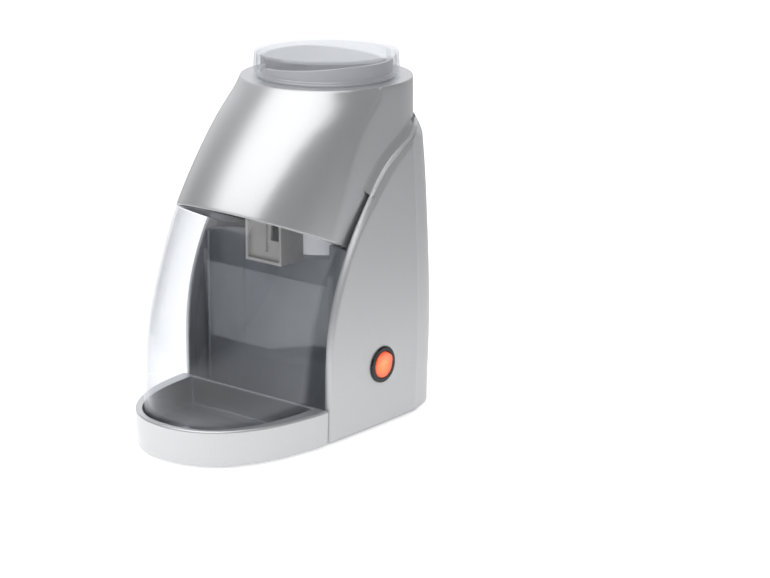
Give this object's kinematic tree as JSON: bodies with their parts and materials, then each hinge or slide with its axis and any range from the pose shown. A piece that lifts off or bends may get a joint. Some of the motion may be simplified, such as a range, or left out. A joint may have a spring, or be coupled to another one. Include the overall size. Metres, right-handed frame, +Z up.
{
  "type": "ice crusher",
  "caption": "Electric countertop ice crusher: round hopper with clear lid, geared crushing rotor and a clear ice container that slides out on its tray.",
  "frame": {"origin": "on the floor, under the middle of the body's length and width", "axes": "+Z up, -Y towards the tray and container, +X towards the switch side"},
  "size_m": [0.1305, 0.2246, 0.2358],
  "materials": {
    "silver_panel": "satin silver paint",
    "silver_satin": "semi-gloss silver paint",
    "clear_plastic": "clear moulded plastic",
    "black_plastic": "gloss black",
    "dark_plastic": "matte dark grey",
    "grey_plastic": "matte warm grey",
    "orange_lens": "translucent orange, lit from inside",
    "rubber": "matte",
    "zinc_steel": "zinc plated",
    "stainless": "brushed",
    "bronze": "sintered",
    "copper": "turned",
    "ferrite": "matte",
    "gear_plastic": "moulded acetal",
    "circuit_board": "solder mask"
  },
  "bodies": {
    "housing": {"rear_housing": "silver_panel", "upper_housing": "silver_satin", "bay_wall": "silver_panel", "base_plate": "dark_plastic", "feet": "rubber", "base_screws": "zinc_steel", "hopper": "silver_satin", "chamber_floor": "grey_plastic", "ice_chute": "grey_plastic", "fixed_blade": "stainless", "gearbox_case": "grey_plastic", "gearbox_cover": "grey_plastic", "gearbox_screws": "zinc_steel", "shaft_bushes": "bronze", "layshaft_bushes": "bronze", "shaft_seal": "rubber", "motor_can": "zinc_steel", "motor_end_cap": "dark_plastic", "motor_bearings": "bronze", "motor_magnets": "ferrite", "carbon_brushes": "ferrite", "brush_holder": "dark_plastic", "switch_body": "black_plastic", "cord_gland": "black_plastic", "circuit_board": "circuit_board"},
    "drawer": {"drawer_tray": "silver_panel", "ice_container": "clear_plastic"},
    "lid": {"lid": "clear_plastic"},
    "rocker": {"switch_rocker": "orange_lens"},
    "rotor": {"rotor_shaft": "stainless", "crusher_rotor": "dark_plastic", "rotor_blades": "stainless", "rotor_nut": "stainless", "output_gear": "gear_plastic"},
    "layshaft": {"layshaft": "stainless", "lay_gear": "gear_plastic", "lay_pinion": "zinc_steel"},
    "motor_rotor": {"motor_shaft": "stainless", "motor_pinion": "bronze", "armature": "zinc_steel", "commutator": "copper", "cooling_fan": "dark_plastic"}
  },
  "joints": [
    {"name": "drawer_slide", "type": "slide", "parent": "housing", "child": "drawer", "axis": [0, -1, 0], "range_m": [0, 0.12]},
    {"name": "lid_lift", "type": "slide", "parent": "housing", "child": "lid", "axis": [0, 0, 1], "range_m": [0, 0.06]},
    {"name": "switch_tilt", "type": "hinge", "parent": "housing", "child": "rocker", "pos_m": [0.06276, 0.0257, 0.0423], "axis": [0, 1, 0], "range_deg": [-14, 0]},
    {"name": "rotor_spin", "type": "hinge", "parent": "housing", "child": "rotor", "pos_m": [0, 0.0462, 0.12], "axis": [0, 0, 1], "continuous": true},
    {"name": "layshaft_spin", "type": "hinge", "parent": "housing", "child": "layshaft", "pos_m": [0, 0.0762, 0.085], "axis": [0, 0, 1], "continuous": true},
    {"name": "motor_spin", "type": "hinge", "parent": "housing", "child": "motor_rotor", "pos_m": [0, 0.0462, 0.05], "axis": [0, 0, 1], "continuous": true}
  ],
  "couplings": [
    {"joint": "layshaft_spin", "follows": "rotor_spin", "ratio": -3},
    {"joint": "motor_spin", "follows": "rotor_spin", "ratio": 12}
  ]
}
